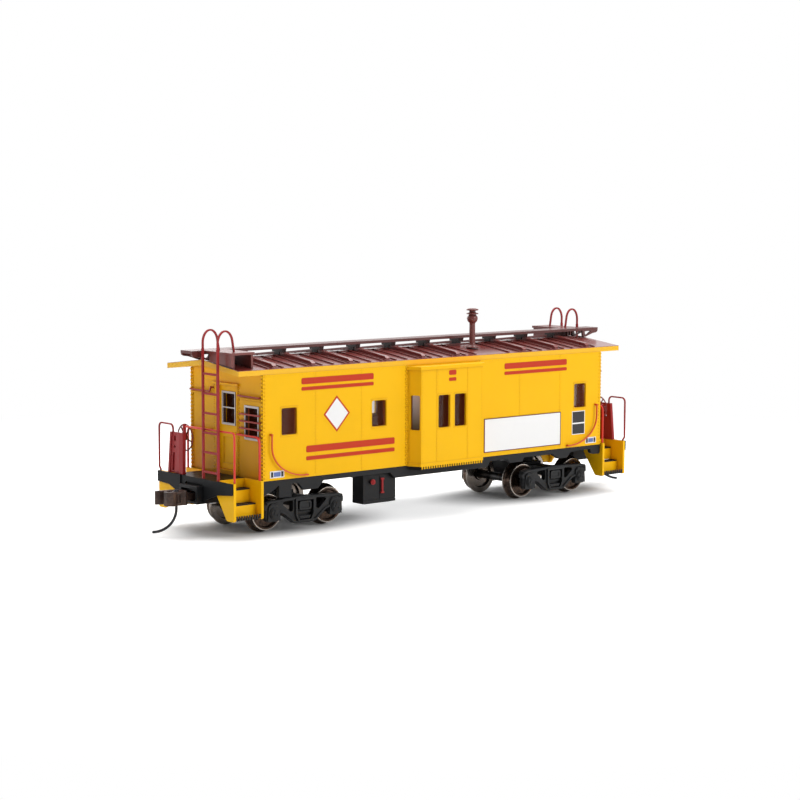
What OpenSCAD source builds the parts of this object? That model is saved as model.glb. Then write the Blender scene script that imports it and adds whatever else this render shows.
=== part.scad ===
// Bay window caboose, HO scale (1:87.1), an assembly of separate moulded and metal pieces.
// X runs along the car, Y across it, Z up. Origin: centre of the car at the level of the wheel
// flanges. End "a" is at -X, end "b" at +X; end b is end a turned half a turn about Z.
// Pieces that occur at both ends are drawn at end a, except the coupler, its knuckle and pin.

/* [Body] */
// Length of the car body over its end walls
body_l = 120; // [118:0.5:122]
// Width of the car body over its sides
body_w = 31.6; // [31.2:0.1:32]
// Height of the bottom edge of the sides above the wheel flanges
body_z = 14.35; // [14.35:0.05:14.4]
// Height of the top of the sides
eave_z = 41.1; // [40.9:0.1:41.4]
// Wall thickness of the body moulding
wall = 1.2; // [1.1:0.05:1.3]

/* [Bay window] */
// Half width of the bay where it meets the side
bay_half = 12.6; // [12.3:0.1:12.8]
// Half width of the bay at its front
bay_front = 11.0; // [10.6:0.1:11.2]
// How far the bay stands out from the side
bay_out = 3.6; // [3.2:0.1:3.8]

/* [Roof] */
// Length of the roof over both porches
roof_l = 135; // [134:0.5:136]
// Width of the roof
roof_w = 31.4; // [31.2:0.1:31.6]
// Rise of the roof from eave to ridge
roof_rise = 1.9; // [1.7:0.1:2.1]
// Thickness of the roof edge
roof_t = 1.4; // [1.2:0.1:1.5]
// Distance between the raised ribs
rib_pitch = 12.36; // [12.2:0.02:12.5]
// Height of the top of the running board
walk_z = 46.87; // [46.7:0.01:47]

/* [Trucks and wheels] */
// Distance from the middle of the car to each truck pivot
truck_x = 44.87; // [44.7:0.01:45]
// Wheelbase of a truck
wheelbase = 19.84; // [19.8:0.01:20]
// Wheel tread radius (a 33 inch wheel at this scale)
tread_r = 4.8; // [4.75:0.01:4.85]
// Flange depth
flange_h = 0.64; // [0.6:0.01:0.66]
// Distance between the backs of the two wheels on one axle
back_to_back = 14.5; // [14.4:0.05:14.6]

/* [Couplers] */
// Height of the coupler centre line
coupler_z = 9.9; // [9.88:0.01:9.92]

/* [Hidden] */
$fn = 48;
half_w = body_w / 2;
half_l = body_l / 2;
bay_y = -half_w - bay_out; // front of the bay at -Y
roof_half = roof_w / 2;
slope = roof_rise / roof_half;
ridge_z = eave_z + roof_t + roof_rise;
half_base = wheelbase / 2;
axle_z = tread_r + flange_h;
beam_top = 14.65; // top of the end beams
floor_z = 15.5; // top of the floor
pivot_x = 64.5; // coupler pivot
screw_r = 0.8; // coupler screw and its holes
draft_half = 3.9; // half width of the draft sill and coupler box

body_yellow = [0.97, 0.74, 0.13];
roof_brown = [0.42, 0.22, 0.20];
rail_red = [0.66, 0.20, 0.22];
frame_dark = [0.24, 0.24, 0.25];
glass = [0.8, 0.9, 0.95, 0.4];
coupler_brown = [0.27, 0.2, 0.17];
knuckle_brown = [0.3, 0.22, 0.19];
pin_black = [0.18, 0.18, 0.19];
axle_black = [0.16, 0.16, 0.17];
wheel_grey = [0.6, 0.58, 0.55];

// ---------- helpers ----------
module end_b() { rotate([0, 0, 180]) children(); }
module both_ends() { for (turn = [0, 180]) rotate([0, 0, turn]) children(); }
module mirror_pair(axis) {
  children();
  mirror(axis) children();
}
module box(x0, x1, y0, y1, z0, z1) {
  translate([x0, y0, z0]) cube([x1 - x0, y1 - y0, z1 - z0]);
}
// profile in Y,Z extruded from x0 to x1
module along_x(x0, x1) {
  translate([x0, 0, 0]) rotate([90, 0, 90]) linear_extrude(x1 - x0) children();
}
// profile in X,Z extruded from y0 to y1
module along_y(y0, y1) {
  translate([0, y1, 0]) rotate([90, 0, 0]) linear_extrude(y1 - y0) children();
}
// profile in X,Y extruded from z0 to z1
module along_z(z0, z1) { translate([0, 0, z0]) linear_extrude(z1 - z0) children(); }
// cylinders that start at a point and run towards +Z, +X and -Y
module peg(at, r, h) { translate(at) cylinder(r = r, h = h); }
module peg_x(at, r, h) { translate(at) rotate([0, 90, 0]) cylinder(r = r, h = h); }
module peg_y(at, r, h) { translate(at) rotate([90, 0, 0]) cylinder(r = r, h = h); }
// rectangle with rounded corners
module rounded(x0, x1, y0, y1, r) {
  union() {
    translate([x0 + r, y0]) square([x1 - x0 - 2 * r, y1 - y0]);
    translate([x0, y0 + r]) square([x1 - x0, y1 - y0 - 2 * r]);
    for (x = [x0 + r, x1 - r], y = [y0 + r, y1 - r]) translate([x, y]) circle(r, $fn = 24);
  }
}
// half an outline followed by its mirror image; points on the centre line occur once
function mirrored(half) = concat(half,
  [for (i = [len(half) - 1:-1:0]) if (half[i][0] != 0) [-half[i][0], half[i][1]]]);
function unit(v) = v / norm(v);
// vector across a path at point i, lengthened so that the edges meet in a mitre
function mitre(path, i) = let (
    a = max(i, 1),
    b = min(i, len(path) - 2),
    arriving = unit(path[a] - path[a - 1]),
    leaving = unit(path[b + 1] - path[b]),
    mean = unit(arriving + leaving))
  [-mean[1], mean[0]] / max(0.5, mean * arriving);
// bar of the given width along a plane path
module strip(path, width) {
  last = len(path) - 1;
  polygon(concat([for (i = [0:last]) path[i] + mitre(path, i) * width / 2],
                 [for (i = [last:-1:0]) path[i] - mitre(path, i) * width / 2]));
}
function oval(center, rx, ry, start, end, steps) = [for (i = [0:steps])
  let (angle = start + (end - start) * i / steps) center + [rx * cos(angle), ry * sin(angle)]];
function arc(center, r, start, end, steps) = oval(center, r, r, start, end, steps);
function roof_z(y) = ridge_z - slope * abs(y);

// ---------- body ----------
side_windows = [[-54.35, -49.45], [-24.87, -20.05], [49.45, 54.05]]; // x0, x1 in the -Y side
side_window_z = [25.6, 32.4];
bay_room_top = 39.4;
// openings in the end wall: y0, y1, z0, z1
door_opening = [-4.37, 4.37, 15.6, 37.4];
end_window = [-13.75, -8.2, 24.6, 32.7];
door_window = [-2.65, 2.65, 27.5, 35.5];

// block that fills an end opening, grown by an amount on all four edges
module opening_box(x0, x1, opening, grow = 0) {
  box(x0, x1, opening[0] - grow, opening[1] + grow, opening[2] - grow, opening[3] + grow);
}
module side_openings() {
  for (window = side_windows) along_y(-half_w - 1, -half_w + 3)
    rounded(window[0], window[1], side_window_z[0], side_window_z[1], 0.5);
  box(-11.4, 11.4, -half_w - 1, -half_w + 3, floor_z, bay_room_top);
}
module end_openings() {
  for (opening = [door_opening, end_window]) opening_box(-half_l - 1, -half_l + 3, opening);
}
module end_trim() {
  inside = -half_l + 0.1;
  // drip rails over the window, over the blind side and over the door
  box(-half_l - 0.4, inside, -14.9, -6.0, 34.45, 34.8);
  box(-half_l - 0.4, inside, 5.7, 15.3, 34.55, 34.9);
  box(-half_l - 0.6, inside, -5.6, 5.6, 37.55, 38.05);
  for (s = [-1, 1]) {
    // door post and corner post
    box(-half_l - 0.2, inside, s * 4.7 - 0.3, s * 4.7 + 0.3, body_z + 0.3, 37.6);
    box(-half_l - 0.15, inside, s * 15.3 - 0.5, s * 15.3 + 0.5, body_z, eave_z - 0.1);
  }
}
module body_shell() {
  color(body_yellow) difference() {
    union() {
      difference() {
        along_x(-half_l, half_l) polygon(mirrored([[-half_w, body_z], [-half_w, eave_z],
          [-roof_half, eave_z], [0, eave_z + roof_rise]]));
        box(-half_l + wall, half_l - wall, -half_w + wall, half_w - wall, body_z - 1, eave_z + 4);
      }
      both_ends() end_trim();
    }
    both_ends() {
      side_openings();
      end_openings();
    }
  }
}

// ---------- bay window, at -Y ----------
bay_bottom = 14.2;
// slab with the plan of the bay; the last value moves its front outwards
module bay_slab(z0, z1, side_half, front_half, beyond = 0) {
  along_z(z0, z1) polygon(mirrored([[-side_half, -half_w], [-front_half, bay_y - beyond]]));
}
module bay_window() {
  color(body_yellow) difference() {
    union() {
      bay_slab(bay_bottom, 40.4, bay_half, bay_front);
      // ledge over the bay and belt round its bottom
      bay_slab(39.9, 40.75, 13.1, 11.4, 0.4);
      bay_slab(bay_bottom, bay_bottom + 0.9, 12.75, 11.1, 0.12);
    }
    along_z(floor_z, bay_room_top) polygon(mirrored([[-bay_half + 1.2, -half_w + 1],
      [-bay_half + 1.2, -half_w], [-bay_front + 0.9, bay_y + 0.9]]));
    // two windows in the front, one in each narrow side
    for (s = [-1, 1]) {
      along_y(bay_y - 2, bay_y + 2) rounded(s * 2.9 - 2.05, s * 2.9 + 2.05, 24.2, 32.9, 0.5);
      translate([0, -half_w - 1.75, 0]) along_x(s * 11.9 - 1.6, s * 11.9 + 1.6)
        rounded(-1.45, 1.45, 23.9, 33.1, 0.4);
    }
  }
}

// ---------- roof ----------
rib_h = 1.0;
rib_stations = [for (k = [0:4], s = [-1, 1]) s * rib_pitch * (k + 0.5)];
missing_rib_x = 1.5 * rib_pitch; // left out of the -Y slope, beside the smokejack
// section of a rib with its sloping heel: distance from the ridge, height over the roof
rib_section = [[1.2, -0.3], [1.2, rib_h], [13.9, rib_h], [14.7, 0.55], [14.8, -0.3]];

// section given as distance from the ridge and height over the roof, on the slope at side * Y
module on_slope(side, x0, x1, section) {
  along_x(x0, x1) polygon([for (p = section) [side * p[0], roof_z(p[0]) + p[1]]]);
}
module roof_strip(side, x, half_width, height, y0, y1) {
  on_slope(side, x - half_width, x + half_width, [[y0, -0.3], [y0, height], [y1, height], [y1, -0.3]]);
}
module roof_strips(side) {
  for (x = rib_stations) if (side > 0 || abs(x - missing_rib_x) > 1) {
    // rib on its base flange, with a narrow strip at each side
    on_slope(side, x - 0.6, x + 0.6, rib_section);
    roof_strip(side, x, 1.0, 0.22, 1.15, 15.15);
    for (offset = [-2.35, 2.35]) roof_strip(side, x + offset, 0.26, 0.34, 1.0, 15.1);
  }
  // strips midway between the ribs, the middle one slightly longer
  for (k = [-4:4]) let (trim = k == 0 ? 0 : 0.05)
    roof_strip(side, k * rib_pitch, 0.26, 0.34, 1.05 + trim, 15.05 - trim);
}
module roof() {
  color(roof_brown) union() {
    along_x(-roof_l / 2, roof_l / 2) polygon(mirrored([[0, ridge_z - roof_t],
      [-roof_half, eave_z], [-roof_half, eave_z + roof_t], [0, ridge_z]]));
    roof_strips(-1);
    roof_strips(1);
    // ridge seam
    box(-roof_l / 2 + 1.2, roof_l / 2 - 1.2, -1.1, 1.1, ridge_z - 0.6, ridge_z + 0.12);
  }
}
// fine gaps between boards, centred at the given Y values
module board_gaps(x0, x1, stations) {
  for (y = stations) box(x0, x1, y - 0.07, y + 0.07, walk_z - 0.12, walk_z + 1);
}
// end bracket of the running board: x, z
bracket = [[-72.25, walk_z - 0.4], [-72.25, 45.75], [-71.7, 45.4], [-70.2, 45.2], [-68.6, 44.7],
  [-67.4, ridge_z - 0.12], [-66.2, ridge_z - 0.12], [-65.9, walk_z - 0.4]];
bracket_opening = [[-69.6, 45.9], [-68.2, 45.0], [-67.2, 44.75], [-66.9, 45.9]];
module running_board() {
  foot_z = roof_z(2.0) + rib_h + 0.02;
  notch_z = roof_z(1.1) + rib_h + 0.02;
  color(roof_brown) union() {
    difference() {
      box(-72.3, 72.3, -2.5, 2.5, walk_z - 0.75, walk_z);
      board_gaps(-73, 73, [-0.85, 0.85]);
    }
    // saddles on the ribs
    for (x = rib_stations) along_x(x - 0.75, x + 0.75) polygon(mirrored([
      [-1.1, ridge_z + 0.15], [-1.1, notch_z], [-2.0, foot_z], [-2.3, walk_z - 0.6]]));
    both_ends() for (y = [-2.15, 2.15]) along_y(y - 0.3, y + 0.3) difference() {
      polygon(bracket);
      polygon(bracket_opening);
    }
  }
}
// cross plates of the platform: x0, outer Y distance, lift over the roof at outer and inner edge
platform_plates = [[-67.2, 12.8, 0.02, 0.02], [-62.1, 13.6, 0.02, 0.02], [-68.35, 13.9, 0.7, 0.35]];
module roof_platform() {
  under = walk_z - 0.5;
  color(roof_brown) union() {
    difference() {
      box(-68.4, -61.3, -14.0, -2.55, walk_z - 0.6, walk_z);
      board_gaps(-69, -60, [-11.9, -9.8, -7.7, -5.6, -3.5]);
    }
    // two plates stand on the slope, the third is a valance across the end of the roof
    for (plate = platform_plates) along_x(plate[0], plate[0] + 0.6) polygon([
      [-plate[1], roof_z(plate[1]) + plate[2]], [-plate[1], under],
      [-4.5, under], [-4.5, roof_z(4.5) + plate[3]]]);
    box(-68.0, -67.0, -13.5, -4.6, walk_z - 1.4, under);
  }
}
jack_foot_z = roof_z(5.4) + 0.02;
// radius, z
jack_section = [[0, jack_foot_z], [1.75, jack_foot_z], [1.75, 44.0], [1.15, 44.35], [0.85, 44.7],
  [0.8, 50.6], [1.0, 50.75], [1.3, 51.1], [1.52, 51.7], [1.45, 52.3], [1.1, 52.75], [0.95, 52.95],
  [1.66, 53.05], [1.66, 53.3], [1.0, 53.45], [0.85, 53.95], [1.66, 54.1], [1.66, 54.4],
  [0.9, 54.62], [0, 54.68]];
module smokejack() {
  color(roof_brown) translate([17.9, -7.3, 0]) rotate_extrude() polygon(jack_section);
}

// ---------- ladders, rails and grabs ----------
ladder_y = [-10.05, -3.6]; // the two stiles
module end_ladder() {
  // up from the beam, over in an arch, and down onto the roof platform
  arch = concat([[-69.75, 46.5]], oval([-67.5, 49.0], 2.25, 3.1, 180, 8, 18), [[-64.7, 46.0]]);
  color(rail_red) union() {
    for (y = ladder_y) {
      along_y(y - 0.22, y + 0.22) difference() {
        strip(arch, 0.45);
        translate([-66, 46]) square([3, walk_z - 46]);
      }
      box(-70.03, -69.47, y - 0.27, y + 0.27, beam_top, 47.6);
    }
    // rungs
    for (k = [0:5]) let (z = 16.25 + 4.95 * k)
      box(-69.95, -69.5, ladder_y[0], ladder_y[1], z, z + 0.55);
  }
}
module brake_side_rail() {
  // loop from the corner of the end beam to the top of the brake stand
  path = concat([[15.9, beam_top], [15.9, 14.95], [16.5, 15.7]],
    arc([15.3, 25.95], 1.2, 0, 90, 8), arc([11.3, 25.95], 1.2, 90, 180, 8), [[10.1, 25.2]]);
  color(rail_red) along_x(-69.82, -69.4) strip(path, 0.42);
}
module ladder_side_rail() {
  // behind the ladder, from the other corner of the beam to the post of the brake stand
  path = concat([[-16.05, beam_top]], arc([-15.15, 26.3], 0.9, 180, 90, 6), [[5.4, 27.0]]);
  color(rail_red) along_x(-69.3, -68.85) strip(path, 0.45);
}
module corner_handrail() {
  path = concat([[-15.75, beam_top], [-15.75, 23.8]], arc([-14.15, 23.9], 1.6, 180, 90, 8),
    [[-6.2, 25.5]]);
  color(rail_red) union() {
    along_x(-61.4, -60.98) strip(path, 0.45);
    box(-61.35, -half_l, -6.4, -6.0, 25.3, 25.7);
  }
}
module side_grab() {
  path = concat([[-57.9, 26.1], [-57.9, 23.4]], oval([-47.0, 22.8], 10.9, 7.75, 180, 270, 16),
    [[-46.4, 15.05]]);
  color(rail_red) union() {
    along_y(-16.78, -16.44) strip(path, 0.34);
    // standoffs
    box(-58.12, -57.68, -16.85, -half_w, 25.75, 26.25);
    box(-46.85, -46.45, -16.78, -half_w, 14.85, 15.25);
  }
}
grab_x = [-60.95, -60.6]; // bars in front of the end wall
// level bar at the end wall with a standoff at each end; the one at y0 meets the corner post
module end_bar(y0, y1, z, half_bar, standoff_x, half_standoff) {
  bottom = z - half_standoff;
  top = z + half_standoff;
  color(rail_red) union() {
    box(grab_x[0], grab_x[1], y0, y1, z - half_bar, z + half_bar);
    box(standoff_x, -half_l - 0.16, y0, y0 + 0.35, bottom, top);
    box(standoff_x, -half_l, y1 - 0.35, y1, bottom, top);
  }
}
module window_guard_bars() {
  for (z = [25.4, 27.2, 29.0, 30.8]) end_bar(-15.2, -6.6, z, 0.2, -60.9, 0.18);
}
module end_grab_irons() {
  // over the window
  end_bar(-15.0, -5.9, 35.325, 0.175, -60.8, 0.175);
  // over the blind side, with its inner end turned up
  color(rail_red) union() {
    along_x(grab_x[0], grab_x[1]) strip([[15.3, 35.4], [6.4, 35.4], [5.8, 36.7]], 0.35);
    box(-60.8, -half_l - 0.16, 14.95, 15.3, 35.23, 35.57);
    box(-60.8, -half_l, 5.65, 6.0, 36.3, 36.65);
  }
}

// ---------- brake gear ----------
brake_y = 8.0;
brake_z = 23.8; // height of the brake wheel's shaft
stand_top = 25.2;
// upright plate: bottom edge y0 to y1, top edge y2 to y3
module stand_plate(x0, x1, y0, y1, y2, y3) {
  along_x(x0, x1) polygon([[y0, beam_top], [y1, beam_top], [y3, stand_top], [y2, stand_top]]);
}
module brake_stand() {
  color(rail_red) difference() {
    union() {
      stand_plate(-69.6, -69.0, 5.6, 12.3, 5.4, 11.2);
      // stiffening ribs on the face
      stand_plate(-69.85, -69.5, 11.5, 12.3, 10.5, 11.2);
      stand_plate(-69.85, -69.5, 5.6, 7.3, 5.4, 7.1);
      // side flange and foot
      stand_plate(-69.5, -68.85, 5.6, 6.0, 5.4, 5.8);
      box(-69.6, -68.7, 5.6, 12.3, beam_top, beam_top + 0.35);
      // post beside the wheel, with a collar and a rounded top
      box(-69.42, -68.78, 5.4, 6.1, 25.0, 27.3);
      box(-69.5, -68.7, 5.4, 6.2, 25.0, 25.5);
      peg_x([-69.42, 5.75, 27.3], 0.35, 0.64, $fn = 32);
      // bearing of the wheel and the web under it
      peg_x([-69.1, brake_y, brake_z], 1.1, 1.15);
      along_x(-69.1, -68.2) polygon([[brake_y - 0.5, 20.8], [brake_y + 0.5, 20.8],
        [brake_y + 0.95, brake_z], [brake_y - 0.95, brake_z]]);
    }
    // sloping slot, hole and round-ended slot in the face
    along_x(-70, -69.28) polygon([[9.6, 15.3], [10.6, 15.3], [10.2, 19.9], [9.3, 19.9]]);
    for (hole = [[9.4, 21.5], [9.3, 23.2], [9.3, 24.0]])
      peg_x([-70, hole[0], hole[1]], 0.36, 2, $fn = 24);
    box(-70, -68, 8.94, 9.66, 23.2, 24.0);
    // bore for the wheel's shaft
    peg_x([-69.3, brake_y, brake_z], 0.45, 3, $fn = 32);
  }
}
module brake_wheel() {
  color(rail_red) translate([-67.3, brake_y, brake_z]) rotate([0, 90, 0]) union() {
    // rim, spokes, hub and shaft
    rotate_extrude() translate([3.35, 0]) circle(0.18, $fn = 20);
    for (a = [0:72:288]) rotate([0, 0, a]) translate([0.3, -0.13, -0.12]) cube([2.95, 0.26, 0.24]);
    peg([0, 0, -0.3], 0.75, 0.62);
    peg([0, 0, -1.9], 0.4, 1.7, $fn = 32);
  }
}

// ---------- steps, between end beam and body, at -Y ----------
// side plate: y, z
step_side = [[-9.0, beam_top], [-16.6, beam_top], [-16.6, 5.35], [-16.3, 5.05], [-13.9, 5.05],
  [-13.4, 5.35], [-9.0, 11.4]];
// back and risers: y0, y1, z0, z1
step_risers = [[-9.3, -8.98, 12.4, beam_top], [-11.75, -11.4, 8.95, 12.1],
  [-14.25, -13.9, 5.5, 8.6]];
// treads: y0, y1, z0
step_tread_places = [[-11.7, -9.35, 12.1], [-14.2, -11.8, 8.6], [-16.35, -14.3, 5.25]];
module steps() {
  color(body_yellow) union() {
    for (x = [-69.75, -61.3]) along_x(x, x + 0.75) polygon(step_side);
    for (riser = step_risers) box(-69.1, -61.2, riser[0], riser[1], riser[2], riser[3]);
  }
}
module treads() {
  for (tread = step_tread_places) let (y0 = tread[0], y1 = tread[1], z = tread[2])
    color(frame_dark) difference() {
      box(-68.98, -61.32, y0, y1, z, z + 0.32);
      // grating
      for (k = [0:8]) let (x = -68.6 + k * 0.82)
        box(x, x + 0.45, y0 + 0.4, y1 - 0.3, z - 1, z + 1);
      // toothed outer edge
      for (k = [0:7]) let (x = -68.58 + k * 0.82)
        box(x, x + 0.38, y0 - 1, y0 + 0.3, z + 0.12, z + 1);
    }
  // row of upright teeth along the lowest tread
  color(frame_dark) for (k = [0:9]) let (x = -68.85 + k * 0.78)
    box(x, x + 0.4, -16.55, -16.3, 5.25, 6.4);
}

// ---------- underframe ----------
// side sill at -Y: x, z
sill = [[-60.4, body_z], [-60.4, 10.85], [-59.3, 10.85], [-57.4, 11.4], [-55.0, 12.9],
  [-55.0, 9.75], [-51.0, 9.65], [-51.0, 13.0], [-48.9, 13.0], [-47.1, 11.0], [-42.5, 11.05],
  [-40.7, 12.95], [-18.4, 12.95], [-16.9, 11.4], [16.2, 11.4], [17.5, 12.95], [23.9, 12.95],
  [24.9, 11.85], [29.6, 11.85], [30.4, 12.95], [41.3, 12.9], [43.6, 11.5], [47.1, 11.5],
  [48.5, 12.9], [52.0, 13.2], [56.4, 13.2], [56.7, 12.2], [57.5, 11.7], [59.9, 11.6],
  [60.4, 12.0], [60.4, body_z]];
module underframe() {
  color(frame_dark) difference() {
    union() {
      box(-half_l + 1.35, half_l - 1.35, -half_w + 1.3, half_w - 1.3, body_z, floor_z);
      both_ends() along_y(-15.6, -14.4) polygon(sill);
      // floor skirt that ties the sills to the floor
      box(-60.4, 60.4, -15.6, 15.6, body_z - 0.35, body_z);
      // centre sill
      box(-57, 57, -2.6, 2.6, 11.6, body_z);
      box(-57, 57, -3.6, 3.6, 13.6, body_z);
      // cross bearers
      for (x = [-30, -10, 10, 30]) box(x - 0.6, x + 0.6, -14.6, 14.6, 12.6, body_z);
      // bolsters with their pivot bosses
      for (x = [-truck_x, truck_x]) {
        box(x - 2.6, x + 2.6, -14.6, 14.6, 12.9, body_z);
        peg([x, 0, 11.3], 3.2, 2.5);
      }
      // bay floor pans
      both_ends() along_z(13.2, 14.18) polygon(mirrored([[-12.3, -15.0], [-10.8, -19.1]]));
    }
    for (s = [-1, 1]) {
      peg([s * truck_x, 0, 10], 1.0, 4.5);
      // socket for the platform tongue
      box(s * 56 - 1.1, s * 56 + 1.1, -1.6, 1.6, 11, 13.2);
    }
  }
}
// end beam: y, z
end_beam = [[-16.5, beam_top], [-16.5, 11.8], [-9.9, 11.1], [-5.2, 9.4], [-4.8, 8.6],
  [-3.96, 8.6], [-3.96, 12.95], [3.96, 12.95], [3.96, 8.6], [4.8, 8.6], [5.2, 9.4], [9.9, 11.1],
  [11.2, 11.6], [16.5, 11.9], [16.5, beam_top]];
module end_platform() {
  color(frame_dark) difference() {
    union() {
      // end beam, with an upright slot beside the brake stand and a recess over the coupler box
      difference() {
        along_x(-70.25, -69.76) polygon(end_beam);
        box(-71, -69.95, 4.7, 6.15, 12.4, 16);
        box(-71, -69.9, -3.6, 3.6, 12, 13.25);
      }
      // deck
      box(-69.8, -60.45, -8.9, 8.9, 13.8, 14.6);
      // draft sill above the coupler box, with a tongue into the underframe
      box(-69.8, -57.1, -draft_half, draft_half, 12.77, 13.9);
      box(-61.2, -57.1, -draft_half, draft_half, 11.72, 13.9);
      box(-57.2, -55.0, -1.5, 1.5, 11.72, 13.1);
      // slats of the deck
      for (k = [0:5]) let (y = -8.3 + k * 3.1) box(-69.2, -60.9, y, y + 1.1, 14.5, 14.62);
    }
    peg([-pivot_x, 0, 12], screw_r, 1.6, $fn = 32);
  }
}
equipment_y = -14.35; // outer face of the equipment box
module equipment_box() {
  color(frame_dark) union() {
    difference() {
      box(-26.6, -15.6, equipment_y, -9.8, 5.1, body_z - 0.35);
      // level groove near the bottom and upright groove between the doors
      box(-27, -15, -14.6, -14.2, 5.9, 6.05);
      box(-21.2, -21.05, -14.6, -14.2, 6.05, 12.7);
    }
    box(-26.7, -15.5, -14.38, -14.3, 12.3, 12.7);
    box(-25.6, -16.6, -13.6, -10.4, 4.9, 5.2);
  }
}
module box_valve_and_gauge() {
  // stem, disc and crossbar
  color(rail_red) translate([-23.9, equipment_y, 10.9]) rotate([90, 0, 0]) union() {
    cylinder(r = 0.35, h = 0.9, $fn = 24);
    peg([0, 0, 0.55], 0.72, 0.35, $fn = 32);
    translate([-0.14, -0.6, 0.85]) cube([0.28, 1.2, 0.2]);
  }
  // upright lever with a foot and a head
  color(rail_red) union() {
    box(-20.6, -20.1, -14.8, equipment_y, 7.8, 11.5);
    for (z = [7.6, 11.2]) box(-20.85, -19.85, -14.85, equipment_y, z, z + 0.45);
  }
}
module weight() {
  color("gray") difference() {
    box(-52, 52, -12, 12, floor_z, 18.0);
    for (x = [-truck_x, truck_x, 0]) peg([x, 0, 15], 2.6, 4);
  }
}

// ---------- glazing, doors and end windows ----------
door_x = -half_l + wall; // outer face of the door's back plate
module side_glazing() {
  z0 = side_window_z[0];
  z1 = side_window_z[1];
  inner_y = -half_w + wall;
  both_ends() for (window = side_windows) color(glass) union() {
    box(window[0] - 0.7, window[1] + 0.7, inner_y, inner_y + 0.6, z0 - 0.7, z1 + 0.7);
    along_y(-half_w + 0.5, inner_y + 0.2)
      rounded(window[0] + 0.04, window[1] - 0.04, z0 + 0.04, z1 - 0.04, 0.5);
  }
}
module bay_glazing() {
  both_ends() {
    color(glass) box(-6.4, 6.4, bay_y + 0.9, bay_y + 1.4, 23.4, 33.7);
    // panes in the narrow sides
    mirror_pair([1, 0, 0]) color(glass) along_z(23.3, 33.7) polygon([[-11.34, -half_w - 0.05],
      [-10.1, -half_w - 2.6], [-9.68, -half_w - 2.45], [-10.9, -half_w + 0.05]]);
  }
}
module end_door() {
  color(body_yellow) difference() {
    union() {
      box(door_x, door_x + 0.8, -5.2, 5.2, 15.6, 38.2);
      // leaf standing in the opening, with a small round knob
      box(-half_l + 0.85, door_x + 0.1, -4.3, 4.3, 15.65, 37.35);
      peg_x([-half_l + 0.4, -2.9, 25.2], 0.3, 0.5, $fn = 24);
    }
    opening_box(-half_l, -half_l + 3, door_window);
    // sunk panel
    box(-half_l + 0.7, -half_l + 1.05, -2.6, 2.6, 17.2, 24.0);
  }
}
// frame whose outer edge lies outside the opening by grow
module frame_ring(x0, x1, opening, grow, width) {
  difference() {
    opening_box(x0, x1, opening, grow);
    opening_box(x0 - 1, x1 + 1, opening, grow - width);
  }
}
module end_window_frames() {
  both_ends() {
    color("silver") union() {
      frame_ring(-half_l - 0.2, -half_l, end_window, 0.3, 0.32);
      frame_ring(-half_l - 0.2, -half_l + 0.6, end_window, -0.02, 0.22);
    }
    color("silver") union() {
      frame_ring(-half_l + 0.6, -half_l + 0.85, door_window, 0.3, 0.32);
      frame_ring(-half_l + 0.7, -half_l + 1.5, door_window, -0.02, 0.2);
      box(-half_l + 0.65, -half_l + 0.95, -2.64, 2.64, 31.5, 31.8);
    }
  }
}
module end_glazing() {
  both_ends() {
    color(glass) box(door_x, door_x + 0.5, -14.2, -7.8, 24.1, 33.2);
    color(glass) box(door_x + 0.8, door_x + 1.3, -3.3, 3.3, 26.8, 36.2);
  }
}

// ---------- coupler boxes, at end a ----------
draft_z = 8.85; // underside of the coupler box
draft_top = 12.75;
module draft_block(z0, z1) { box(-72.0, -61.3, -draft_half, draft_half, z0, z1); }
module coupler_box() {
  color(frame_dark) difference() {
    union() {
      difference() {
        draft_block(draft_z, draft_top);
        // room for the shank and its springs, higher at the mouth
        box(-73, -61.85, -3.1, 3.1, draft_z - 1, coupler_z + 1.12);
        box(-73, -70.4, -3.1, 3.1, draft_z - 1, draft_top - 0.8);
      }
      peg([-pivot_x, 0, draft_z], 1.5, 2.6);
    }
    peg([-pivot_x, 0, draft_z - 1], screw_r, 6, $fn = 32);
  }
}
module coupler_lid() {
  color(frame_dark) difference() {
    draft_block(draft_z - 0.6, draft_z);
    peg([-pivot_x, 0, 7], screw_r, 3, $fn = 32);
  }
}
module coupler_screw() {
  color("silver") difference() {
    union() {
      peg([-pivot_x, 0, draft_z - 0.65], screw_r, 5.1, $fn = 32);
      peg([-pivot_x, 0, draft_z - 1.3], 1.55, 0.7, $fn = 32);
    }
    box(-pivot_x - 2, -pivot_x + 2, -0.2, 0.2, 7, draft_z - 1.0);
  }
}
module centring_spring() {
  color("peru") union() {
    difference() {
      box(-69.9, -62.2, -2.95, 2.95, coupler_z + 0.98, coupler_z + 1.08);
      peg([-pivot_x, 0, 10], 1.6, 2);
      box(-71, -66.2, -1.7, 1.7, 10, 12);
    }
    for (y = [-2.9, 2.9]) box(-69.6, -64.9, y - 0.06, y + 0.06, draft_z + 0.3, coupler_z + 1.03);
  }
}

// ---------- couplers, drawn at end b with X measured from the pivot ----------
pin = [11.7, 0.9]; // knuckle pin: x, y
pin_r = 0.36;
head_z0 = coupler_z - 1.75;
head_z1 = coupler_z + 1.75;
shank_z0 = coupler_z - 0.92;
shank_z1 = coupler_z + 0.92;
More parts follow.
